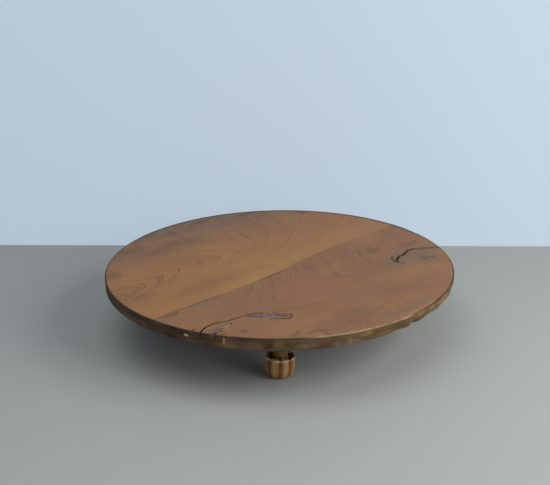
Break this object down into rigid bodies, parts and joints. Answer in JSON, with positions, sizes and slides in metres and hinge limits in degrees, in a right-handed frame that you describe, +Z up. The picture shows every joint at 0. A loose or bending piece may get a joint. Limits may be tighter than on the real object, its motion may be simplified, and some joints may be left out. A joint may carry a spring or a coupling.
{
  "type": "folding low table",
  "caption": "Low round wooden table with an edge-glued top on turned melon-lobed feet; each pair of legs folds inwards on a swing rail and a turning bar locks them open.",
  "frame": {"origin": "centre of the table on the floor, below the middle of the round top", "axes": "+Z up, +X along the grain of the top, +Y across the grain from the narrow board to the wide board"},
  "size_m": [0.7574, 0.7574, 0.1515],
  "materials": {
    "wide_board": "oiled zelkova, golden brown, fine chevron growth rings",
    "narrow_board": "oiled zelkova, redder brown, worn rim",
    "leg_wood": "oiled and worn, golden olive ridges over dark valleys",
    "frame_wood": "planed, unfinished, darkened with age",
    "bamboo": "split bamboo, smooth",
    "wedge_wood": "dark hardwood, end grain",
    "screw_steel": "dulled, a little rusty",
    "brass": "dull brass"
  },
  "bodies": {
    "table_top": {"batten_left": "frame_wood", "batten_right": "frame_wood", "bearing_block_left_front": "frame_wood", "bearing_block_left_rear": "frame_wood", "bearing_block_right_front": "frame_wood", "bearing_block_right_rear": "frame_wood", "bearing_screws": "screw_steel", "joint_pins": "bamboo", "lock_block": "frame_wood", "lock_block_screws": "screw_steel", "lock_pivot_screw": "screw_steel", "lock_pivot_washers": "brass", "lock_stop_peg": "wedge_wood", "top_board_narrow": "narrow_board", "top_board_wide": "wide_board"},
    "left_legs": {"swing_rail_left": "frame_wood", "leg_left_front": "leg_wood", "leg_left_rear": "leg_wood", "tenon_wedges_left": "wedge_wood"},
    "right_legs": {"swing_rail_right": "frame_wood", "leg_right_front": "leg_wood", "leg_right_rear": "leg_wood", "tenon_wedges_right": "wedge_wood"},
    "turning_bar": {"lock_bar": "frame_wood", "lock_bar_bush": "brass"}
  },
  "joints": [
    {"name": "left_legs_fold", "type": "hinge", "parent": "table_top", "child": "left_legs", "pos_m": [-0.15473, 0, 0.1072], "axis": [0, -1, 0], "range_deg": [0, 85]},
    {"name": "right_legs_fold", "type": "hinge", "parent": "table_top", "child": "right_legs", "pos_m": [0.15473, 0, 0.1072], "axis": [0, 1, 0], "range_deg": [0, 85]},
    {"name": "lock_bar_turn", "type": "hinge", "parent": "table_top", "child": "turning_bar", "pos_m": [0, 0, 0.1], "axis": [0, 0, 1], "range_deg": [0, 90]}
  ]
}
